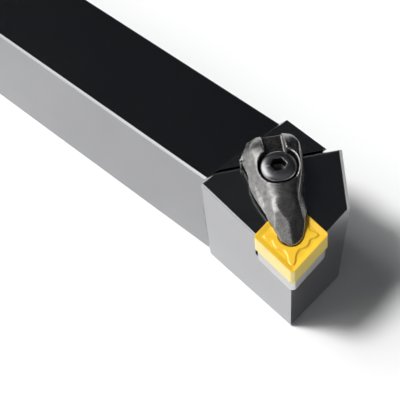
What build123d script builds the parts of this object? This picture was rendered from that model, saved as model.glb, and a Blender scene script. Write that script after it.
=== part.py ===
from build123d import *
from math import cos, hypot, pi, radians, sin, tan
import os

os.makedirs("parts", exist_ok=True)

# Shank: the square bar that goes in the tool post
shank_width = 25.0
shank_height = 25.0
shank_length = 116.0
edge_break = 0.5

# Head: its reach in front of the shank, and the width over which it offsets the tip
head_length = 34.0
functional_width = 32.0
tip_height = 25.0

# Insert: 80 degree rhombus, known by its inscribed circle
inscribed_circle = 12.7
insert_angle = 80.0
insert_thickness = 4.76
nose_radius = 0.8
insert_hole = 5.16
insert_hole_edge = 0.5
seat_rake = 6.0

# Chip breaker pressed in both faces of the insert
rim_land = 0.3
groove_depth = 0.28
groove_slope_width = 1.0
island_wall = 0.35
island_quarter = (
    (-7.5, 0.0),
    (-6.9, 0.5),
    (-5.6, 0.7),
    (-4.3, 1.1),
    (-3.5, 1.8),
    (-3.2, 2.6),
    (-2.7, 3.35),
    (-1.9, 3.75),
    (-1.1, 4.1),
    (-0.7, 4.9),
    (0.0, 5.8),
)

# Shim under the insert
shim_thickness = 3.18
shim_inset = 0.05
shim_corner_radius = 1.0
shim_side_radius = 2.4
shim_hole = 4.6

# Shim screw
shim_screw_diameter = 3.6
shim_screw_head = 6.0
shim_screw_length = 9.0
shim_screw_sink = 0.3
shim_screw_socket = 2.0
shim_screw_socket_depth = 1.2
screw_head_cone = 90.0

# Head faces, measured from the insert's sides and from the shank
side_face_inset = 0.5
front_face_inset = 0.85
front_face_relief = 1.2
pad_drop = 0.2
far_corner_setback = 2.6
far_corner_width = 10.8
far_corner_turn = 41.0
far_corner_relief = 4.4
side_step_foot = 0.8
side_step_turn = 31.4
side_step_relief = 3.0
side_shoulder_height = 12.6
side_shoulder_at = 2.8
side_shoulder_radius = 12.0
top_step_slope = 48.0
pad_edge_break = 0.4
far_edge_break = 0.8
ramp_edge_break = 0.3
corner_relief_diameter = 2.4
pocket_reach = 1.8

# Clamp groove across the head: a ramp for the clamp's tail and the wall behind it
clamp_turn = 8.6
groove_turn = 11.0
ramp_start = 20.2
ramp_slope = 53.0
groove_depth_below_pad = 6.0
groove_wall_lean = 20.0
rear_block_drop = 4.2
groove_end = 10.5

# Clamp: place along its axis from the hole, half widths at underside and top, height, edge radius
clamp_stations = (
    (-0.8, 2.68, 2.0, 1.9, 0.6),
    (2.3, 3.65, 2.0, 2.9, 0.9),
    (6.0, 4.9, 2.8, 4.0, 1.4),
    (9.5, 6.1, 3.6, 5.4, 1.6),
    (12.5, 6.85, 4.6, 6.45, 1.3),
    (15.0, 6.95, 5.25, 6.95, 0.9),
    (17.5, 6.95, 5.2, 7.15, 0.8),
    (20.5, 7.6, 5.6, 6.8, 0.9),
    (23.0, 7.1, 5.2, 5.7, 0.9),
    (24.6, 5.9, 4.4, 4.5, 0.8),
    (25.4, 4.7, 3.5, 3.6, 0.7),
)
clamp_underside = 1.2
clamp_nose_radius = 2.8
clamp_nose_height = 2.2
clamp_nose_under_end = 4.2
clamp_facet_height = 1.9
clamp_facet_slope = 0.52
clamp_facet_fall = 0.46
clamp_hook_radius = 2.45
clamp_hook_depth = 2.2
clamp_seat_gap = 0.03

# Clamp tail: the foot that slides down the ramp
foot_start = 0.5
foot_length = 3.0
foot_half_width = 7.2
foot_side_angle = 60.0
foot_heel_height = 1.2

# Clamp screw and its place in the clamp
screw_at = 15.0
screw_diameter = 5.0
screw_head_diameter = 8.5
screw_head_height = 3.1
screw_head_dome = 0.45
screw_head_edge = 0.2
screw_socket = 4.0
screw_socket_depth = 2.4
screw_grip = 16.5
screw_clearance = 0.3
thread_clearance = 0.04
counterbore_diameter = 9.3
counterbore_floor = 2.75
clamp_slot_width = 4.9
clamp_slot_floor = 3.0

# Spring around the clamp screw
spring_wire = 0.8
spring_diameter = 6.9
spring_turns = 3.5
spring_seat_depth = 3.4
spring_clearance = 0.35
spring_gap = 0.03

# Where the insert's sharp front corner stands, from the size over the nose
half_angle = radians(insert_angle / 2)
corner_overhang = nose_radius * (cos(radians(45)) / sin(half_angle) - 1)
head_start = shank_length / 2
corner_x = head_start + head_length + corner_overhang
corner_y = shank_width / 2 - functional_width - corner_overhang
rake_slope = tan(radians(seat_rake))
insert_up = Vector(rake_slope, -rake_slope, 1).normalized()

# Planes of the insert: its x runs from the cutting corner to the far corner
insert_top = Plane(Vector(corner_x, corner_y, tip_height), x_dir=(-1, 1, 0), z_dir=insert_up)
corner_to_hole = inscribed_circle / 2 / sin(half_angle)
hole_to_side_corner = inscribed_circle / 2 / cos(half_angle)
hole_top = Plane(insert_top * Pos(corner_to_hole, 0, 0))
shim_top = hole_top.offset(-insert_thickness)
seat = hole_top.offset(-insert_thickness - shim_thickness)
clamp_plane = Plane(hole_top * Rot(0, 0, clamp_turn))
clamp_side = Plane(clamp_plane.origin, x_dir=clamp_plane.x_dir, z_dir=-clamp_plane.y_dir)
groove_top = Plane(hole_top * Rot(0, 0, groove_turn))
groove_side = Plane(groove_top.origin, x_dir=groove_top.x_dir, z_dir=-groove_top.y_dir)
screw_plane = Plane(clamp_plane * Pos(screw_at, 0, 0))


def rhombus(inset):
    """Sharp rhombic outline of the insert, drawn in from its sides by inset."""
    long_half = corner_to_hole - inset / sin(half_angle)
    short_half = hole_to_side_corner - inset / cos(half_angle)
    Polygon((-long_half, 0), (0, -short_half), (long_half, 0), (0, short_half), align=None)


def island_points(widen):
    """Points round the wavy island in the chip breaker, moved outwards by widen."""
    upper = list(island_quarter) + [(-x, y) for x, y in island_quarter[-2::-1]]
    ring = upper + [(x, -y) for x, y in upper[-2:0:-1]]
    points = []
    for before, (x, y), after in zip(ring[-1:] + ring[:-1], ring, ring[1:] + ring[:1]):
        run = after[0] - before[0]
        rise = after[1] - before[1]
        points.append((x - rise / hypot(run, rise) * widen, y + run / hypot(run, rise) * widen))
    return points


# Chip breaker: a sloping groove inside the rim, with a wavy island left standing in it
chip_floor = hole_top.offset(-groove_depth)
with BuildPart() as chip_groove:
    with BuildSketch(hole_top):
        rhombus(rim_land)
    with BuildSketch(chip_floor):
        rhombus(rim_land + groove_slope_width)
    loft()
with BuildPart() as island:
    with BuildSketch(chip_floor):
        with BuildLine():
            Spline(*island_points(island_wall), periodic=True)
        make_face()
    with BuildSketch(hole_top):
        with BuildLine():
            Spline(*island_points(0), periodic=True)
        make_face()
    loft()

# Insert: pressed and sintered carbide, with its hole and the same relief in each face
face_relief = chip_groove.part - island.part
with BuildPart() as insert:
    with BuildSketch(hole_top) as insert_outline:
        rhombus(0)
        fillet(insert_outline.vertices(), nose_radius)
        Circle(insert_hole / 2, mode=Mode.SUBTRACT)
    extrude(amount=-insert_thickness)
    chamfer(insert.edges().filter_by(GeomType.CIRCLE).group_by(SortBy.RADIUS)[-1], insert_hole_edge)
    add(face_relief, mode=Mode.SUBTRACT)
    add(mirror(face_relief, about=hole_top.offset(-insert_thickness / 2)), mode=Mode.SUBTRACT)
insert.part.label = "insert"
export_step(insert.part, "parts/insert.step")

# Shim: the insert's rhombus, blunter at its sides, with a countersunk hole
with BuildPart() as shim:
    with BuildSketch(shim_top) as shim_outline:
        rhombus(shim_inset)
        fillet(shim_outline.vertices().sort_by(Axis.X)[1:3], shim_side_radius)
        fillet(shim_outline.vertices().sort_by(Axis.X)[0], shim_corner_radius)
        fillet(shim_outline.vertices().sort_by(Axis.X)[-1], shim_corner_radius)
    extrude(amount=-shim_thickness)
    with Locations(shim_top):
        CounterSinkHole(
            shim_hole / 2,
            shim_screw_head / 2 + shim_screw_sink,
            counter_sink_angle=screw_head_cone,
        )
shim.part.label = "shim"
export_step(shim.part, "parts/shim.step")

# Shim screw: countersunk head below the shim's top, shank in the holder's thread
shim_screw_top = shim_top.offset(-shim_screw_sink)
head_cone_height = (shim_screw_head - shim_screw_diameter) / 2 / tan(radians(screw_head_cone / 2))
with BuildPart() as shim_screw:
    with BuildSketch(Plane(shim_screw_top.origin, x_dir=shim_screw_top.x_dir, z_dir=-shim_screw_top.y_dir)):
        with BuildLine():
            Polyline(
                (0, 0),
                (shim_screw_head / 2, 0),
                (shim_screw_diameter / 2, -head_cone_height),
                (shim_screw_diameter / 2, -shim_screw_length),
                (0, -shim_screw_length),
                close=True,
            )
        make_face()
    revolve(axis=Axis(shim_screw_top.origin, shim_screw_top.z_dir))
    with BuildSketch(shim_screw_top):
        RegularPolygon(shim_screw_socket / 2, 6, major_radius=False)
    extrude(amount=-shim_screw_socket_depth, mode=Mode.SUBTRACT)
shim_screw.part.label = "shim_screw"
export_step(shim_screw.part, "parts/shim_screw.step")

# Planes of the head's milled faces, each with its normal pointing out of the steel
side_edge = Plane(insert_top * Rot(0, 0, insert_angle / 2))
front_edge = Plane(insert_top * Rot(0, 0, -insert_angle / 2))
insert_side = Plane(insert_top.origin, x_dir=side_edge.x_dir, z_dir=side_edge.y_dir)
insert_front = Plane(insert_top.origin, x_dir=front_edge.x_dir, z_dir=-front_edge.y_dir)
side_face = insert_side.offset(-side_face_inset)
front_face = Plane(insert_front.offset(-front_face_inset) * Rot(front_face_relief, 0, 0))
pad_face = hole_top.offset(-pad_drop)
far_corner_point = (corner_x - far_corner_setback, shank_width / 2 - far_corner_width, tip_height)
far_corner_out = (sin(radians(far_corner_turn)), cos(radians(far_corner_turn)), 0)
far_corner_upright = Plane(far_corner_point, x_dir=(0, 0, 1), z_dir=far_corner_out)
far_corner_face = Plane(far_corner_upright * Rot(0, -far_corner_relief, 0))
side_step_point = (head_start - side_step_foot, -shank_width / 2, 0)
side_step_out = (-sin(radians(side_step_turn)), -cos(radians(side_step_turn)), 0)
side_step_upright = Plane(side_step_point, x_dir=(0, 0, 1), z_dir=side_step_out)
side_step_face = Plane(side_step_upright * Rot(0, -side_step_relief, 0))
top_step_out = (-tan(radians(top_step_slope)), 0, 1)
top_step_face = Plane((head_start, 0, shank_height), x_dir=(0, 1, 0), z_dir=top_step_out)


def edges_in(solid, *planes):
    """The edges of a solid that lie in all of these planes."""
    found = solid.edges()
    reach = 0.001
    for plane in planes:
        found = found.filter_by(lambda edge: abs(plane.to_local_coords(edge @ 0.5).Z) < reach)
    return found


# Head blank: an upright block milled to those faces
blank_back = head_start - side_step_foot
blank_height = 2 * tip_height
with BuildPart() as head_blank:
    with BuildSketch(Plane.XY):
        with Locations(((blank_back + corner_x) / 2, (corner_y + shank_width / 2) / 2)):
            Rectangle(corner_x - blank_back, shank_width / 2 - corner_y)
    extrude(amount=blank_height)
    split(bisect_by=pad_face, keep=Keep.BOTTOM)
    split(bisect_by=side_face, keep=Keep.BOTTOM)
    split(bisect_by=front_face, keep=Keep.BOTTOM)
    split(bisect_by=far_corner_face, keep=Keep.BOTTOM)
    split(bisect_by=side_step_face, keep=Keep.BOTTOM)
    split(bisect_by=top_step_face, keep=Keep.BOTTOM)
    chamfer(edges_in(head_blank, pad_face, side_face), pad_edge_break)
    chamfer(edges_in(head_blank, pad_face, far_corner_face), far_edge_break)
    chamfer(head_blank.faces().sort_by(Axis.Z)[0].edges().sort_by(Axis.X)[1:], edge_break)

# Clamp groove seen along its length: ramp, groove wall and the lower block behind it
ramp_foot = ramp_start + groove_depth_below_pad / tan(radians(ramp_slope))
groove_floor = -pad_drop - groove_depth_below_pad
wall_height = -rear_block_drop - groove_floor
wall_top = ramp_foot - wall_height * tan(radians(groove_wall_lean))
cut_height = max(station[3] for station in clamp_stations)
cut_length = shank_length / 2
with BuildPart() as rear_cut:
    with BuildSketch(groove_side):
        with BuildLine():
            Polyline(
                (ramp_start, -pad_drop),
                (ramp_foot, groove_floor),
                (wall_top, -rear_block_drop),
                (cut_length, -rear_block_drop),
                (cut_length, cut_height),
                (ramp_start, cut_height),
                close=True,
            )
        make_face()
    extrude(amount=cut_length, both=True)
with BuildPart() as groove_cut:
    with BuildSketch(groove_side.offset(-groove_end)):
        with BuildLine():
            Polyline(
                (ramp_start, -pad_drop),
                (ramp_foot, groove_floor),
                (wall_top, -rear_block_drop),
                (wall_top, cut_height),
                (ramp_start, cut_height),
                close=True,
            )
        make_face()
    extrude(amount=cut_length)

# Room above the block at the head's back corner, where the side face ends square
with BuildPart() as shoulder_cut:
    with BuildSketch(Plane.XZ.offset(shank_width / 2)):
        with Locations((head_start + side_shoulder_at, side_shoulder_height)):
            Rectangle(2 * side_shoulder_radius, blank_height, align=(Align.MAX, Align.MIN))
    extrude(amount=shank_width / 2)
    low_edges = shoulder_cut.edges().filter_by(Axis.Y).group_by(Axis.Z)[0]
    fillet(low_edges.sort_by(Axis.X)[-1], side_shoulder_radius)

# Holder: shank and head are one bar, with the pocket, groove and holes milled in it
shim_screw_hole_depth = shim_screw_length + shim_screw_diameter / 2
with BuildPart() as holder:
    with BuildSketch(Plane.YZ.offset(-shank_length / 2)):
        Rectangle(shank_width, shank_height, align=(Align.CENTER, Align.MIN))
    extrude(amount=shank_length)
    chamfer(holder.edges().filter_by(Axis.X), edge_break)
    chamfer(holder.faces().sort_by(Axis.X)[0].edges(), edge_break)
    add(head_blank.part - rear_cut.part - shoulder_cut.part)
    add(groove_cut.part, mode=Mode.SUBTRACT)
    chamfer(edges_in(holder, pad_face).filter_by(Axis(groove_top.origin, groove_top.y_dir)), ramp_edge_break)
    with BuildSketch(seat):
        Polygon(
            (corner_to_hole, 0),
            (corner_to_hole * (1 - pocket_reach), hole_to_side_corner * pocket_reach),
            (-corner_to_hole * 2 * pocket_reach, 0),
            (corner_to_hole * (1 - pocket_reach), -hole_to_side_corner * pocket_reach),
            align=None,
        )
        with Locations((corner_to_hole, 0)):
            Circle(corner_relief_diameter / 2)
    extrude(amount=blank_height, mode=Mode.SUBTRACT)
    with Locations(seat):
        Hole(shim_screw_diameter / 2 + thread_clearance, depth=shim_screw_hole_depth - shim_thickness)
    with Locations(screw_plane.offset(-pad_drop)):
        CounterBoreHole(
            screw_diameter / 2 + thread_clearance,
            spring_diameter / 2 + spring_wire / 2 + spring_clearance,
            spring_seat_depth,
            depth=screw_grip + screw_diameter / 2,
        )
holder.part.label = "holder"
export_step(holder.part, "parts/holder.step")


def clamp_section(at, half_width, half_top, height, edge_radius):
    """Cross-section of the forging: flanks that slope in over the underside, and a rounded top."""
    place = Plane(clamp_plane * Pos(at, 0, 0))
    with BuildSketch(Plane(place.origin, x_dir=place.y_dir, z_dir=place.x_dir)) as outline:
        Polygon(
            (-half_width, clamp_seat_gap),
            (half_width, clamp_seat_gap),
            (half_width, clamp_underside),
            (half_top, height),
            (-half_top, height),
            (-half_width, clamp_underside),
            align=None,
        )
        fillet(outline.vertices().group_by(Axis.Y)[-1], edge_radius)
    return outline


# Clamp: forged steel, its nose in the insert's hole and its foot on the ramp
foot_top = ramp_start + foot_start
foot_bottom = foot_top + foot_length
ramp_fall = tan(radians(ramp_slope))
foot_clearance = clamp_seat_gap / cos(radians(ramp_slope))
clamp_tail = clamp_stations[-1][0]
with BuildPart() as foot_blank:
    with BuildSketch(groove_side):
        with BuildLine():
            Polyline(
                (foot_top, clamp_underside * 2),
                (foot_top, -pad_drop - foot_start * ramp_fall + foot_clearance),
                (foot_bottom, -pad_drop - (foot_bottom - ramp_start) * ramp_fall + foot_clearance),
                (foot_bottom, -rear_block_drop + foot_heel_height),
                (clamp_tail, clamp_underside),
                (clamp_tail, clamp_underside * 2),
                close=True,
            )
        make_face()
    extrude(amount=foot_half_width, both=True)
    with BuildSketch(groove_top.offset(-cut_height)):
        with Locations(((foot_top + clamp_tail) / 2, 0)):
            Trapezoid(2 * foot_half_width, clamp_tail - foot_top, foot_side_angle, rotation=-90)
    extrude(amount=3 * cut_height, mode=Mode.INTERSECT)
with BuildPart() as clamp:
    for station in clamp_stations:
        add(clamp_section(*station).sketch)
    loft()
    with BuildSketch(clamp_plane.offset(clamp_seat_gap)):
        Circle(clamp_nose_radius)
    extrude(amount=clamp_nose_height)
    with BuildSketch(clamp_side):
        with BuildLine():
            Polyline(
                (clamp_nose_under_end, clamp_seat_gap),
                (clamp_nose_under_end + clamp_underside, clamp_underside),
                (clamp_tail, clamp_underside),
                (clamp_tail, -clamp_underside),
                (clamp_nose_under_end, -clamp_underside),
                close=True,
            )
        make_face()
    extrude(amount=cut_height * 2, both=True, mode=Mode.SUBTRACT)
    add(foot_blank.part)
    for flank_fall in (clamp_facet_fall, -clamp_facet_fall):
        facet_up = clamp_plane.z_dir - clamp_plane.x_dir * clamp_facet_slope + clamp_plane.y_dir * flank_fall
        facet_point = clamp_side.from_local_coords((0, clamp_facet_height, 0))
        split(bisect_by=Plane(facet_point, x_dir=clamp_plane.y_dir, z_dir=facet_up), keep=Keep.BOTTOM)
    with BuildSketch(clamp_plane.offset(-clamp_hook_depth)):
        Circle(clamp_hook_radius)
    extrude(amount=clamp_hook_depth + clamp_seat_gap)
    with BuildSketch(screw_plane.offset(counterbore_floor)):
        Circle(counterbore_diameter / 2)
    extrude(amount=cut_height, mode=Mode.SUBTRACT)
    with BuildSketch(screw_plane.offset(clamp_slot_floor)):
        Rectangle(cut_height * 2, clamp_slot_width, align=(Align.MIN, Align.CENTER))
    extrude(amount=cut_height, mode=Mode.SUBTRACT)
    with BuildSketch(screw_plane):
        Circle(screw_diameter / 2 + screw_clearance)
    extrude(amount=cut_height, mode=Mode.SUBTRACT)
clamp.part.label = "clamp"
export_step(clamp.part, "parts/clamp.step")

# Clamp screw: domed socket head in the clamp's counterbore, shank in the holder's thread
screw_side = Plane(screw_plane.origin, x_dir=screw_plane.x_dir, z_dir=-screw_plane.y_dir)
head_under = counterbore_floor + clamp_seat_gap
head_rim = head_under + screw_head_height
head_top = head_rim + screw_head_dome
socket_half = screw_socket / 2 / cos(pi / 6)
head_half = screw_head_diameter / 2
with BuildPart() as clamp_screw:
    with BuildSketch(screw_side):
        with BuildLine():
            Polyline(
                (socket_half, head_top),
                (0, head_top),
                (0, head_under - screw_grip),
                (screw_diameter / 2, head_under - screw_grip),
                (screw_diameter / 2, head_under),
                (head_half, head_under),
                (head_half, head_rim - screw_head_edge),
                (head_half - screw_head_edge, head_rim),
            )
            SagittaArc((head_half - screw_head_edge, head_rim), (socket_half, head_top), screw_head_dome / 2)
        make_face()
    revolve(axis=Axis(screw_plane.origin, screw_plane.z_dir))
    with BuildSketch(screw_plane.offset(head_top)):
        RegularPolygon(screw_socket / 2, 6, major_radius=False)
    extrude(amount=-screw_socket_depth, mode=Mode.SUBTRACT)
clamp_screw.part.label = "clamp_screw"
export_step(clamp_screw.part, "parts/clamp_screw.step")

# Spring: it lifts the clamp off the insert when the screw is slackened
spring_floor = -pad_drop - spring_seat_depth
spring_base = screw_plane.offset(spring_floor + spring_gap + spring_wire / 2)
spring_height = clamp_underside - spring_floor - spring_wire - 2 * spring_gap
with BuildPart() as clamp_spring:
    with BuildLine() as coil:
        Helix(
            spring_height / spring_turns,
            spring_height,
            spring_diameter / 2,
            center=spring_base.origin,
            direction=spring_base.z_dir,
        )
    with BuildSketch(Plane(coil.line @ 0, z_dir=coil.line % 0)):
        Circle(spring_wire / 2)
    sweep(is_frenet=True)
clamp_spring.part.label = "clamp_spring"
export_step(clamp_spring.part, "parts/clamp_spring.step")
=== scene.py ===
from math import cos, pi, radians, sin

import bmesh
import bpy
from mathutils import Matrix, Vector


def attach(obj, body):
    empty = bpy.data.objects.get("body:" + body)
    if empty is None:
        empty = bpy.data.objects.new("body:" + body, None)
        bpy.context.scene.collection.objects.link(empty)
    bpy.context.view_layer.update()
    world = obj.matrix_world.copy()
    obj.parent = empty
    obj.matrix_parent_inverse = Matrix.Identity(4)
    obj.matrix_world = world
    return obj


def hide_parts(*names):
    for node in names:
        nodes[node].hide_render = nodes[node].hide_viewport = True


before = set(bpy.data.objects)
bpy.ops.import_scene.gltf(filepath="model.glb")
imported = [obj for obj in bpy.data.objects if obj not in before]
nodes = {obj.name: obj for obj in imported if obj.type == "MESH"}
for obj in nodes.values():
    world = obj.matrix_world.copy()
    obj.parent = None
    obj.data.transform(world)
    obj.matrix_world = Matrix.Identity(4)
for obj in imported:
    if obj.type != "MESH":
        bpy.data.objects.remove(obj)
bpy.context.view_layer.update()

scene = bpy.context.scene
scene.view_settings.view_transform = "Standard"

# Camera: a long lens close above the cutting end, looking back along the shank.
# Its place and turn are those from which the photograph was taken.
camera_place = (0.222529, -0.155014, 0.250530)
camera_turn = (43.0075, 3.4931, 45.8072)
camera_lens = 122.498
camera_sensor = 36.0
camera_near = 0.01
camera_far = 40.0


def put_in_scene(name, data):
    """A new object that holds that data."""
    thing = bpy.data.objects.new(name, data)
    scene.collection.objects.link(thing)
    return thing


camera_data = bpy.data.cameras.new("camera")
camera_data.lens = camera_lens
camera_data.sensor_width = camera_sensor
camera_data.clip_start = camera_near
camera_data.clip_end = camera_far
camera = put_in_scene("camera", camera_data)
camera.location = camera_place
camera.rotation_euler = [radians(turn) for turn in camera_turn]
scene.camera = camera

# Floor: a plain white table top that runs on to the horizon.
# It takes the tool's soft shadow, and the upright steel faces mirror it.
floor_half = 12.0
floor_white = (0.93, 0.93, 0.93, 1)
floor_mottle = (0.90, 0.90, 0.90, 1)
floor_patches = 6.0
floor_detail = 2.0
mix_first = 6
mix_second = 7
mix_result = 2


def new_material(name):
    """An empty node material, and the shader tree to fill."""
    material = bpy.data.materials.new(name)
    material.use_nodes = True
    material.node_tree.nodes.clear()
    return material, material.node_tree


def add_node(tree, kind, **settings):
    """A node of that kind; a setting named like an input sets it, any other sets the node."""
    node = tree.nodes.new(kind)
    for key, value in settings.items():
        socket = key.replace("_", " ")
        if socket in node.inputs:
            node.inputs[socket].default_value = value
        else:
            setattr(node, key, value)
    return node


def colour_mix(tree, first=None, second=None, blend="MIX"):
    """A mix of two colours; one that isn't given comes through a link."""
    node = add_node(tree, "ShaderNodeMix", data_type="RGBA", blend_type=blend)
    for socket, colour in ((mix_first, first), (mix_second, second)):
        if colour:
            node.inputs[socket].default_value = colour
    return node


def wire(tree, *links):
    """Links each output to the input beside it."""
    for start, end in links:
        tree.links.new(start, end)


floor_mesh = bmesh.new()
bmesh.ops.create_grid(floor_mesh, x_segments=1, y_segments=1, size=floor_half)
floor_data = bpy.data.meshes.new("floor")
floor_mesh.to_mesh(floor_data)
floor_mesh.free()
floor = put_in_scene("floor", floor_data)
floor_paint, tree = new_material("floor_paint")
floor_place = add_node(tree, "ShaderNodeTexCoord")
floor_noise = add_node(tree, "ShaderNodeTexNoise", Scale=floor_patches, Detail=floor_detail)
floor_tint = colour_mix(tree, floor_white, floor_mottle)
floor_shader = add_node(tree, "ShaderNodeBsdfDiffuse")
floor_out = add_node(tree, "ShaderNodeOutputMaterial")
wire(
    tree,
    (floor_place.outputs["Object"], floor_noise.inputs["Vector"]),
    (floor_noise.outputs["Fac"], floor_tint.inputs["Factor"]),
    (floor_tint.outputs[mix_result], floor_shader.inputs["Color"]),
    (floor_shader.outputs["BSDF"], floor_out.inputs["Surface"]),
)
floor_data.materials.append(floor_paint)

# Studio: a grey wall low all round, a dark ceiling, and one tall soft box on the cutting side.
# The upward faces mirror the ceiling, and the clamp takes its highlights from the box.
# A faint glow in front keeps the clamp's far side from falling to black.
wall_tone = (0.40, 0.40, 0.41, 1)
wall_height = 0.03
ceiling_tone = (0.016, 0.018, 0.022, 1)
ceiling_height = 0.14
box_azimuth = -146.0
box_half_width = 50.0
box_full_width = 30.0
box_levels = ((0.0, 0.32), (0.28, 0.42), (0.48, 1.0), (0.84, 1.0), (0.95, 0.0))
box_strength = 2.5
box_white = (1, 1, 1, 1)
glow_azimuth = -20.0
glow_height = 55.0
glow_outer = 0.68
glow_inner = 0.95
glow_strength = 0.12


def toward(height, azimuth):
    """The way to a point at that height and azimuth, in degrees."""
    rise, turn = radians(height), radians(azimuth)
    return Vector((cos(rise) * cos(turn), cos(rise) * sin(turn), sin(rise)))


def soft_ramp(tree, stops):
    """A ramp that eases from one (place, colour) stop to the next."""
    node = add_node(tree, "ShaderNodeValToRGB")
    node.color_ramp.interpolation = "EASE"
    for place, colour in stops[1:-1]:
        node.color_ramp.elements.new(place)
    for element, (place, colour) in zip(node.color_ramp.elements, stops):
        element.position = place
        element.color = colour
    return node


studio = bpy.data.worlds.new("studio")
studio.use_nodes = True
tree = studio.node_tree
tree.nodes.clear()
direction = add_node(tree, "ShaderNodeTexCoord")
height = add_node(tree, "ShaderNodeSeparateXYZ")
wall_to_ceiling = soft_ramp(tree, ((wall_height, wall_tone), (ceiling_height, ceiling_tone)))
level_part = add_node(tree, "ShaderNodeVectorMath", operation="MULTIPLY")
level_part.inputs[1].default_value = (1, 1, 0)
compass = add_node(tree, "ShaderNodeVectorMath", operation="NORMALIZE")
toward_box = add_node(tree, "ShaderNodeVectorMath", operation="DOT_PRODUCT")
toward_box.inputs[1].default_value = toward(0.0, box_azimuth)
box_sides = add_node(
    tree, "ShaderNodeMapRange", interpolation_type="SMOOTHSTEP",
    From_Min=cos(radians(box_half_width)), From_Max=cos(radians(box_full_width)),
    To_Max=box_strength,
)
box_ends = soft_ramp(tree, [(place, (value, value, value, 1)) for place, value in box_levels])
box_shape = add_node(tree, "ShaderNodeMath", operation="MULTIPLY")
toward_glow = add_node(tree, "ShaderNodeVectorMath", operation="DOT_PRODUCT")
toward_glow.inputs[1].default_value = toward(glow_height, glow_azimuth)
glow = add_node(
    tree, "ShaderNodeMapRange", interpolation_type="SMOOTHSTEP",
    From_Min=glow_outer, From_Max=glow_inner, To_Max=glow_strength,
)
box_and_glow = add_node(tree, "ShaderNodeMath", operation="ADD")
room = add_node(tree, "ShaderNodeBackground", Strength=1.0)
soft_box = add_node(tree, "ShaderNodeBackground", Color=box_white)
both = add_node(tree, "ShaderNodeAddShader")
sky_out = add_node(tree, "ShaderNodeOutputWorld")
wire(
    tree,
    (direction.outputs["Generated"], height.inputs["Vector"]),
    (height.outputs["Z"], wall_to_ceiling.inputs["Fac"]),
    (wall_to_ceiling.outputs["Color"], room.inputs["Color"]),
    (direction.outputs["Generated"], level_part.inputs[0]),
    (level_part.outputs["Vector"], compass.inputs[0]),
    (compass.outputs["Vector"], toward_box.inputs[0]),
    (toward_box.outputs["Value"], box_sides.inputs["Value"]),
    (height.outputs["Z"], box_ends.inputs["Fac"]),
    (box_sides.outputs["Result"], box_shape.inputs[0]),
    (box_ends.outputs["Color"], box_shape.inputs[1]),
    (direction.outputs["Generated"], toward_glow.inputs[0]),
    (toward_glow.outputs["Value"], glow.inputs["Value"]),
    (box_shape.outputs["Value"], box_and_glow.inputs[0]),
    (glow.outputs["Result"], box_and_glow.inputs[1]),
    (box_and_glow.outputs["Value"], soft_box.inputs["Strength"]),
    (room.outputs["Background"], both.inputs[0]),
    (soft_box.outputs["Background"], both.inputs[1]),
    (both.outputs["Shader"], sky_out.inputs["Surface"]),
)
scene.world = studio

# Key and fill: two wide soft lamps for the floor and the satin coat of the insert.
# They keep out of all reflections, so that the steel shows only the studio round it.
key_strength = 2.5
key_height = 58.0
key_azimuth = -132.0
key_angle = 16.0
fill_strength = 0.28
fill_height = 12.0
fill_azimuth = -20.0
fill_angle = 30.0
for name, strength, lamp_height, azimuth, angle in (
    ("key", key_strength, key_height, key_azimuth, key_angle),
    ("fill", fill_strength, fill_height, fill_azimuth, fill_angle),
):
    lamp_data = bpy.data.lights.new(name, "SUN")
    lamp_data.energy = strength
    lamp_data.angle = radians(angle)
    lamp = put_in_scene(name, lamp_data)
    lamp.rotation_euler = (-toward(lamp_height, azimuth)).to_track_quat("-Z", "Y").to_euler()
    lamp.visible_glossy = False

# Holder: one bar of tool steel, milled, hardened and finished in a thin satin coat.
# It is dark where it mirrors the ceiling and pale grey on its upright sides.
# The shank is painted a little darker than the head, as painted shade for the dimmer reflection
# its side shows, and the two meet at the step.
holder_pale = (0.405, 0.405, 0.41, 1)
holder_deep = (0.375, 0.375, 0.385, 1)
# Painted highlight, with some wear: the holder's sharp edges are drawn as thin bright lines.
holder_wear_and_glint = (0.52, 0.52, 0.52, 1)
# Painted shade: the holder's corners and recesses darken to this tone.
holder_painted_shade = (0.30, 0.30, 0.305, 1)
shank_shade_grey = (0.85, 0.85, 0.86, 1)
shank_from = 0.0565
shank_to = 0.0600
grain_detail = 3.0
grain_depth = 0.0001
mottle_detail = 4.0
noise_low = 0.36
noise_high = 0.64
edge_samples = 6
edge_flat = 0.995
edge_sharp = 0.90
recess_samples = 8
recess_closed = 0.25


def new_group(name, inputs, outputs):
    """An empty shader group, and the nodes that stand for its inputs and its outputs."""
    group = bpy.data.node_groups.new(name, "ShaderNodeTree")
    for title, value in inputs:
        kind = "NodeSocketVector" if isinstance(value, tuple) else "NodeSocketFloat"
        socket = group.interface.new_socket(title, in_out="INPUT", socket_type=kind)
        socket.default_value = value
    for title in outputs:
        kind = "NodeSocketVector" if title == "Normal" else "NodeSocketFloat"
        group.interface.new_socket(title, in_out="OUTPUT", socket_type=kind)
    return group, group.nodes.new("NodeGroupInput"), group.nodes.new("NodeGroupOutput")


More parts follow.
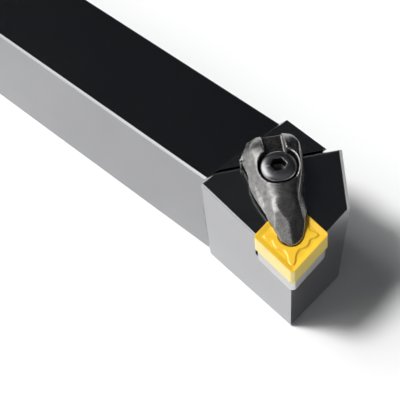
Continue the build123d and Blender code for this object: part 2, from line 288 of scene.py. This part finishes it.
# Surface grain: fine grain, a slow mottle and the normal that the grain gives.
surface_grain, given, result = new_group(
    "surface_grain",
    (
        ("Size", 1000.0), ("Mottle Size", 90.0), ("Bump", 0.1),
        ("Stretch", (1, 1, 1)), ("Under", (0, 0, 0)),
    ),
    ("Grain", "Mottle", "Normal"),
)
grain_place = add_node(surface_grain, "ShaderNodeTexCoord")
grain_scaled = add_node(surface_grain, "ShaderNodeVectorMath", operation="MULTIPLY")
fine_noise = add_node(surface_grain, "ShaderNodeTexNoise", Detail=grain_detail)
slow_noise = add_node(surface_grain, "ShaderNodeTexNoise", Detail=mottle_detail)
grain_bump = add_node(surface_grain, "ShaderNodeBump", Distance=grain_depth)
wire(
    surface_grain,
    (grain_place.outputs["Object"], grain_scaled.inputs[0]),
    (given.outputs["Stretch"], grain_scaled.inputs[1]),
    (grain_scaled.outputs["Vector"], fine_noise.inputs["Vector"]),
    (given.outputs["Size"], fine_noise.inputs["Scale"]),
    (grain_place.outputs["Object"], slow_noise.inputs["Vector"]),
    (given.outputs["Mottle Size"], slow_noise.inputs["Scale"]),
    (fine_noise.outputs["Fac"], grain_bump.inputs["Height"]),
    (given.outputs["Bump"], grain_bump.inputs["Strength"]),
    (given.outputs["Under"], grain_bump.inputs["Normal"]),
    (grain_bump.outputs["Normal"], result.inputs["Normal"]),
)
for noise, title in ((fine_noise, "Grain"), (slow_noise, "Mottle")):
    spread = add_node(surface_grain, "ShaderNodeMapRange", From_Min=noise_low, From_Max=noise_high)
    wire(
        surface_grain,
        (noise.outputs["Fac"], spread.inputs["Value"]),
        (spread.outputs["Result"], result.inputs[title]),
    )

# Edge wear and glint: a mask that is 1 on sharp edges, where worn metal and painted glints are
# coloured in, and the normal that rounds them.
edge_wear_and_glint, given, result = new_group("edge_wear_and_glint", (("Radius", 0.0002),), ("Edge", "Normal"))
edge_rounding = add_node(edge_wear_and_glint, "ShaderNodeBevel", samples=edge_samples)
edge_face = add_node(edge_wear_and_glint, "ShaderNodeNewGeometry")
edge_turn = add_node(edge_wear_and_glint, "ShaderNodeVectorMath", operation="DOT_PRODUCT")
edge_mask = add_node(edge_wear_and_glint, "ShaderNodeMapRange", From_Min=edge_flat, From_Max=edge_sharp)
wire(
    edge_wear_and_glint,
    (given.outputs["Radius"], edge_rounding.inputs["Radius"]),
    (edge_rounding.outputs["Normal"], edge_turn.inputs[0]),
    (edge_face.outputs["Normal"], edge_turn.inputs[1]),
    (edge_turn.outputs["Value"], edge_mask.inputs["Value"]),
    (edge_mask.outputs["Result"], result.inputs["Edge"]),
    (edge_rounding.outputs["Normal"], result.inputs["Normal"]),
)

# Painted recess shade: a mask that is 1 on open faces and falls to 0 in recesses, where shade is
# painted in as a darker tone.
painted_recess_shade, given, result = new_group("painted_recess_shade", (("Reach", 0.003), ("Full", 0.8)), ("Open",))
recess_shade = add_node(
    painted_recess_shade, "ShaderNodeAmbientOcclusion", samples=recess_samples, only_local=True
)
recess_mask = add_node(painted_recess_shade, "ShaderNodeMapRange", From_Min=recess_closed)
wire(
    painted_recess_shade,
    (given.outputs["Reach"], recess_shade.inputs["Distance"]),
    (recess_shade.outputs["AO"], recess_mask.inputs["Value"]),
    (given.outputs["Full"], recess_mask.inputs["From Max"]),
    (recess_mask.outputs["Result"], result.inputs["Open"]),
)


def metal(name, pale, deep, rubbed_and_glint, painted_shade_tone, roughness, grain, bump,
          mottle=90.0, stretch=(1, 1, 1), edge=0.0001, reach=0.002, full=0.8):
    """Metal that is mottled and grained, with wear and a painted glint on its edges and a painted
    shade in its recesses.
    """
    material, tree = new_material(name)
    edge_wear_glint = add_node(tree, "ShaderNodeGroup", node_tree=edge_wear_and_glint, Radius=edge)
    grained = add_node(
        tree, "ShaderNodeGroup", node_tree=surface_grain,
        Size=grain, Mottle_Size=mottle, Bump=bump, Stretch=stretch,
    )
    recess = add_node(tree, "ShaderNodeGroup", node_tree=painted_recess_shade, Reach=reach, Full=full)
    tint = colour_mix(tree, pale, deep)
    # Painted shade: recesses take the dark tone where the occlusion mask closes.
    shade_mix = colour_mix(tree, first=painted_shade_tone)
    # Painted highlight, with some wear: sharp edges take the bright edge tone.
    rub_and_glint = colour_mix(tree, second=rubbed_and_glint)
    gloss = add_node(tree, "ShaderNodeMapRange", To_Min=roughness[0], To_Max=roughness[1])
    shader = add_node(tree, "ShaderNodeBsdfPrincipled", Metallic=1.0)
    out = add_node(tree, "ShaderNodeOutputMaterial")
    wire(
        tree,
        (edge_wear_glint.outputs["Normal"], grained.inputs["Under"]),
        (grained.outputs["Mottle"], tint.inputs["Factor"]),
        (grained.outputs["Grain"], gloss.inputs["Value"]),
        (tint.outputs[mix_result], shade_mix.inputs[mix_second]),
        (recess.outputs["Open"], shade_mix.inputs["Factor"]),
        (shade_mix.outputs[mix_result], rub_and_glint.inputs[mix_first]),
        (edge_wear_glint.outputs["Edge"], rub_and_glint.inputs["Factor"]),
        (rub_and_glint.outputs[mix_result], shader.inputs["Base Color"]),
        (gloss.outputs["Result"], shader.inputs["Roughness"]),
        (grained.outputs["Normal"], shader.inputs["Normal"]),
        (shader.outputs["BSDF"], out.inputs["Surface"]),
    )
    return material


def finish_node(name, material):
    """Gives a CAD node that material in each of its slots."""
    for place in nodes[name].material_slots:
        place.material = material


holder_steel = metal(
    "holder_steel", holder_pale, holder_deep, holder_wear_and_glint, holder_painted_shade,
    roughness=(0.20, 0.24), grain=5000.0, bump=0.004, mottle=40.0, stretch=(0.05, 1, 1),
    edge=0.00008, reach=0.001,
)
tree = holder_steel.node_tree
holder_shader = next(node for node in tree.nodes if node.type == "BSDF_PRINCIPLED")
head_colour = holder_shader.inputs["Base Color"].links[0].from_socket
# Painted shade: the shank's base colour is multiplied darker than the head's.
holder_place = add_node(tree, "ShaderNodeTexCoord")
holder_length = add_node(tree, "ShaderNodeSeparateXYZ")
shank_shade_part = add_node(tree, "ShaderNodeMapRange", From_Min=shank_to, From_Max=shank_from)
shank_shade_tint = colour_mix(tree, second=shank_shade_grey, blend="MULTIPLY")
wire(
    tree,
    (holder_place.outputs["Object"], holder_length.inputs["Vector"]),
    (holder_length.outputs["X"], shank_shade_part.inputs["Value"]),
    (shank_shade_part.outputs["Result"], shank_shade_tint.inputs["Factor"]),
    (head_colour, shank_shade_tint.inputs[mix_first]),
    (shank_shade_tint.outputs[mix_result], holder_shader.inputs["Base Color"]),
)
finish_node("holder", holder_steel)

# Shim: a ground plate of bare carbide under the insert, screwed to the holder's seat.
# Its edges are lapped and carry a painted highlight, its recesses a painted shade, and its sides
# keep a fine matt grain.
shim_pale = (0.63, 0.62, 0.61, 1)
shim_deep = (0.57, 0.56, 0.555, 1)
# Painted highlight on lapped edges: the shim's rims are drawn near white.
shim_lap_and_glint = (0.95, 0.95, 0.94, 1)
shim_painted_shade = (0.30, 0.30, 0.30, 1)
shim_carbide = metal(
    "shim_carbide", shim_pale, shim_deep, shim_lap_and_glint, shim_painted_shade,
    roughness=(0.34, 0.42), grain=5000.0, bump=0.02, edge=0.0002,
)
finish_node("shim", shim_carbide)

# Insert: a pressed and sintered carbide rhombus with a satin gold coat.
# The coat is deepest on the pressed faces; the sides are painted paler, a painted sheen for the
# light the sides catch.
insert_up = (0.103962, -0.103962, 0.989133)
insert_gold = (0.95, 0.60, 0.042, 1)
insert_amber = (0.90, 0.53, 0.032, 1)
# Painted sheen: the insert's sides take this paler gold by the way their normals face.
insert_side_sheen = (0.80, 0.62, 0.09, 1)
# Painted shade: the insert's sharp edges are drawn as thin darker amber lines.
insert_edge_shade = (0.62, 0.38, 0.03, 1)
coat_radius = 0.00012
coat_grain_size = 5000.0
coat_mottle_size = 420.0
coat_bump = 0.05
pressed_from = 0.45
side_sheen_from = 0.15
insert_coat, tree = new_material("insert_coat")
coat_edge = add_node(tree, "ShaderNodeGroup", node_tree=edge_wear_and_glint, Radius=coat_radius)
coat_grain = add_node(
    tree, "ShaderNodeGroup", node_tree=surface_grain,
    Size=coat_grain_size, Mottle_Size=coat_mottle_size, Bump=coat_bump,
)
coat_tint = colour_mix(tree, insert_gold, insert_amber)
coat_way = add_node(tree, "ShaderNodeNewGeometry")
coat_level = add_node(tree, "ShaderNodeVectorMath", operation="DOT_PRODUCT")
coat_level.inputs[1].default_value = insert_up
coat_sheen_flank = add_node(tree, "ShaderNodeMapRange", From_Min=pressed_from, From_Max=side_sheen_from)
coat_side_sheen = colour_mix(tree, second=insert_side_sheen)
coat_edge_shade = colour_mix(tree, second=insert_edge_shade)
coat_shader = add_node(
    tree, "ShaderNodeBsdfPrincipled",
    Roughness=0.4, Coat_Weight=1.0, Coat_Roughness=0.14, Coat_IOR=1.65,
)
coat_out = add_node(tree, "ShaderNodeOutputMaterial")
wire(
    tree,
    (coat_edge.outputs["Normal"], coat_grain.inputs["Under"]),
    (coat_grain.outputs["Mottle"], coat_tint.inputs["Factor"]),
    (coat_way.outputs["Normal"], coat_level.inputs[0]),
    (coat_level.outputs["Value"], coat_sheen_flank.inputs["Value"]),
    (coat_sheen_flank.outputs["Result"], coat_side_sheen.inputs["Factor"]),
    (coat_tint.outputs[mix_result], coat_side_sheen.inputs[mix_first]),
    (coat_side_sheen.outputs[mix_result], coat_edge_shade.inputs[mix_first]),
    (coat_edge.outputs["Edge"], coat_edge_shade.inputs["Factor"]),
    (coat_edge_shade.outputs[mix_result], coat_shader.inputs["Base Color"]),
    (coat_grain.outputs["Normal"], coat_shader.inputs["Normal"]),
    (coat_shader.outputs["BSDF"], coat_out.inputs["Surface"]),
)
finish_node("insert", insert_coat)

# Clamp: drop-forged steel with a crowned back, tumbled and blackened to a soft grey.
# Its nose bears on the insert and hooks in the hole; its foot slides down the holder's ramp.
# Each curve gives its value at places along the clamp, counted from the insert's hole.
clamp_hole = Vector((0.085171, -0.012671, 0.026452))
clamp_along = Vector((-0.797296, 0.585821, 0.145371))
clamp_across = Vector((-0.594568, -0.803745, -0.021985))
clamp_up = Vector(insert_up)
merge_distance = 0.000001
forging_step = 0.00013
forging_passes = 3
forging_smooth = 0.5
ridge_curve = (
    (-0.0008, 0.0019), (0.0023, 0.0029), (0.006, 0.0040), (0.0095, 0.0054), (0.0125, 0.00645),
    (0.015, 0.00695), (0.0175, 0.00715), (0.0205, 0.0068), (0.023, 0.0057), (0.0246, 0.0045),
    (0.0254, 0.0036),
)
foot_curve = ((0.0, 0.0008), (0.006, 0.0010), (0.0095, 0.0018), (0.0125, 0.0030), (0.03, 0.0030))
crown_curve = (
    (0.0, 0.0), (0.0045, 0.0), (0.008, 100.0), (0.0095, 100.0), (0.0125, 66.0), (0.015, 46.0),
    (0.03, 46.0),
)
crown_right = 0.0036
crown_limit = 0.65
least_height = 0.001
edge_curve = (
    (0.006, 0.0028), (0.0095, 0.0036), (0.0125, 0.0046), (0.015, 0.0052), (0.0205, 0.0056),
    (0.0254, 0.0036),
)
steep_curve = ((0.005, 1.0), (0.009, 0.4), (0.021, 0.4), (0.0254, 0.8))
clamp_pale = (0.37, 0.365, 0.355, 1)
clamp_deep = (0.25, 0.245, 0.24, 1)
# Painted glint: the clamp's facet edges and nose rim are drawn as bright lines.
clamp_edge_glint = (0.85, 0.84, 0.82, 1)
# Painted shade: the clamp goes near black in its recesses and low beside the holder's seat.
clamp_painted_shade = (0.025, 0.025, 0.027, 1)


def between(curve, place):
    """The curve's value at that place, on straight lines between its points."""
    for (start, low), (end, high) in zip(curve, curve[1:]):
        if place < end:
            return low + (high - low) * max(0.0, (place - start) / (end - start))
    return curve[-1][1]


rough_forging = put_in_scene("rough_forging", nodes["clamp"].data.copy())
forging = bmesh.new()
forging.from_mesh(rough_forging.data)
bmesh.ops.remove_doubles(forging, verts=forging.verts, dist=merge_distance)
forging.to_mesh(rough_forging.data)
forging.free()
even = rough_forging.modifiers.new("even", "REMESH")
even.mode = "VOXEL"
even.voxel_size = forging_step
evaluated = rough_forging.evaluated_get(bpy.context.evaluated_depsgraph_get())
forged_mesh = bpy.data.meshes.new_from_object(evaluated)
bpy.data.objects.remove(rough_forging)
forging = bmesh.new()
forging.from_mesh(forged_mesh)
for point in forging.verts:
    offset = point.co - clamp_hole
    place = offset.dot(clamp_along)
    foot = between(foot_curve, place)
    above = offset.dot(clamp_up) - foot
    if above > 0:
        aside = max(offset.dot(clamp_across), -crown_right)
        fall = between(crown_curve, place) * aside * aside
        thickness = max(least_height, between(ridge_curve, place) - foot)
        point.co -= clamp_up * above * min(crown_limit, fall / thickness)
    proud = -offset.dot(clamp_across) - between(edge_curve, place)
    if proud > 0:
        point.co += clamp_across * proud * (1 - between(steep_curve, place))
for turn in range(forging_passes):
    bmesh.ops.smooth_vert(
        forging, verts=forging.verts, factor=forging_smooth,
        use_axis_x=True, use_axis_y=True, use_axis_z=True,
    )
for face in forging.faces:
    face.smooth = True
forging.to_mesh(forged_mesh)
forging.free()
clamp_forging = put_in_scene("clamp_forging", forged_mesh)
clamp_steel = metal(
    "clamp_steel", clamp_pale, clamp_deep, clamp_edge_glint, clamp_painted_shade,
    roughness=(0.26, 0.38), grain=2600.0, bump=0.10, mottle=900.0,
    edge=0.0005, reach=0.006, full=0.97,
)
forged_mesh.materials.clear()
forged_mesh.materials.append(clamp_steel)
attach(clamp_forging, "root")
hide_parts("clamp")

# Clamp screw: a turned socket screw, blackened, its domed head rubbed bright by the wrench.
# It passes through the clamp's counterbore and the spring into the holder's thread.
# Its heights count along its own axis from the plane of the insert's upper face.
screw_along = 0.015
screw_sides = 96
head_under = 0.00278
head_radius = 0.00425
head_top = 0.00633
head_dome = ((0.0030, 0.00012), (0.0037, 0.00038), (0.00425, 0.00085))
head_bevel = 0.00045
head_bevel_steps = 5
socket_sides = 6
socket_corner = 0.0019
socket_floor = 0.00393
socket_break = 0.00006
socket_point = 0.0007
mouth_radius = 0.00196
shank_radius = 0.00247
shank_end = -0.01372
tip_radius = 0.0019
thread_from = shank_end + 0.0004
thread_root = 0.0021
thread_pitch = 0.0008
thread_count = 14
crease_angle = 28.0
screw_pale = (0.42, 0.42, 0.425, 1)
screw_deep = (0.36, 0.36, 0.37, 1)
screw_rubbed = (0.46, 0.46, 0.46, 1)
# Painted shade: the hex socket and the screw's recesses are drawn near black.
screw_painted_shade = (0.006, 0.006, 0.007, 1)


def lathe(mesh, outline, steps):
    """Turns an outline of (radius, height) points a whole turn about the upright axis."""
    points = [mesh.verts.new((radius, 0, level)) for radius, level in outline]
    edges = [mesh.edges.new(pair) for pair in zip(points, points[1:])]
    bmesh.ops.spin(
        mesh, geom=points + edges, cent=(0, 0, 0), axis=(0, 0, 1), angle=2 * pi, steps=steps,
        use_merge=True,
    )
    bmesh.ops.remove_doubles(mesh, verts=mesh.verts, dist=merge_distance)


def ring(mesh, level):
    """The edges that lie at that height."""
    return [
        edge for edge in mesh.edges
        if all(abs(point.co.z - level) < merge_distance for point in edge.verts)
    ]


def rim(mesh, level):
    """The open edges at that height."""
    return [edge for edge in ring(mesh, level) if len(edge.link_faces) < 2]


screw_outline = [(mouth_radius, head_top)]
screw_outline += [(radius, head_top - drop) for radius, drop in head_dome]
screw_outline += [(head_radius, head_under), (shank_radius, head_under)]
screw_outline.append((shank_radius, thread_from + thread_count * thread_pitch))
for turn in range(thread_count):
    crest = thread_from + (thread_count - turn) * thread_pitch
    screw_outline.append((thread_root, crest - thread_pitch / 2))
    screw_outline.append((shank_radius, crest - thread_pitch))
screw_outline.append((tip_radius, shank_end))
screw_mesh = bmesh.new()
lathe(screw_mesh, screw_outline, screw_sides)
bmesh.ops.bevel(
    screw_mesh, geom=ring(screw_mesh, head_top - head_dome[-1][1]), offset=head_bevel,
    offset_type="OFFSET", segments=head_bevel_steps, profile=0.5, affect="EDGES", material=-1,
)
socket_mouth = head_top - socket_break
for level in (socket_mouth, socket_floor):
    corners = bmesh.ops.create_circle(
        screw_mesh, segments=socket_sides, radius=socket_corner
    )["verts"]
    bmesh.ops.translate(screw_mesh, verts=corners, vec=(0, 0, level))
    flats = list(dict.fromkeys(edge for corner in corners for edge in corner.link_edges))
    bmesh.ops.subdivide_edges(screw_mesh, edges=flats, cuts=screw_sides // socket_sides - 1)
for upper, lower in ((head_top, socket_mouth), (socket_mouth, socket_floor)):
    bmesh.ops.bridge_loops(screw_mesh, edges=rim(screw_mesh, upper) + rim(screw_mesh, lower))
for level in (shank_end, socket_floor):
    bmesh.ops.contextual_create(screw_mesh, geom=rim(screw_mesh, level))
drilled = [
    face for face in screw_mesh.faces
    if abs(face.calc_center_median().z - socket_floor) < merge_distance
]
bmesh.ops.poke(screw_mesh, faces=drilled, offset=-socket_point)
bmesh.ops.recalc_face_normals(screw_mesh, faces=screw_mesh.faces)
for face in screw_mesh.faces:
    face.smooth = True
for edge in screw_mesh.edges:
    edge.smooth = edge.calc_face_angle(0) < radians(crease_angle)
screw_turn = Matrix((clamp_along, clamp_across, clamp_up)).transposed().to_4x4()
screw_place = Matrix.Translation(clamp_hole + clamp_along * screw_along)
bmesh.ops.transform(screw_mesh, matrix=screw_place @ screw_turn, verts=screw_mesh.verts)
screw_data = bpy.data.meshes.new("socket_screw")
screw_mesh.to_mesh(screw_data)
screw_mesh.free()
socket_screw = put_in_scene("socket_screw", screw_data)
screw_steel = metal(
    "screw_steel", screw_pale, screw_deep, screw_rubbed, screw_painted_shade,
    roughness=(0.28, 0.36), grain=5000.0, bump=0.01, reach=0.003,
)
screw_data.materials.append(screw_steel)
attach(socket_screw, "root")
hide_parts("clamp_screw")

# Shim screw: the same blackened steel, countersunk into the shim under the insert.
# It holds the shim on its seat, and the insert covers it.
finish_node("shim_screw", screw_steel)

# Spring: drawn wire, wound and left bright, under the clamp.
# It lifts the clamp off the insert when the screw is slackened.
spring_pale = (0.42, 0.42, 0.43, 1)
spring_deep = (0.34, 0.34, 0.35, 1)
spring_rubbed = (0.5, 0.5, 0.5, 1)
# Painted shade: the spring's recesses darken to this tone.
spring_painted_shade = (0.10, 0.10, 0.10, 1)
spring_steel = metal(
    "spring_steel", spring_pale, spring_deep, spring_rubbed, spring_painted_shade,
    roughness=(0.25, 0.32), grain=3000.0, bump=0.03,
)
finish_node("clamp_spring", spring_steel)
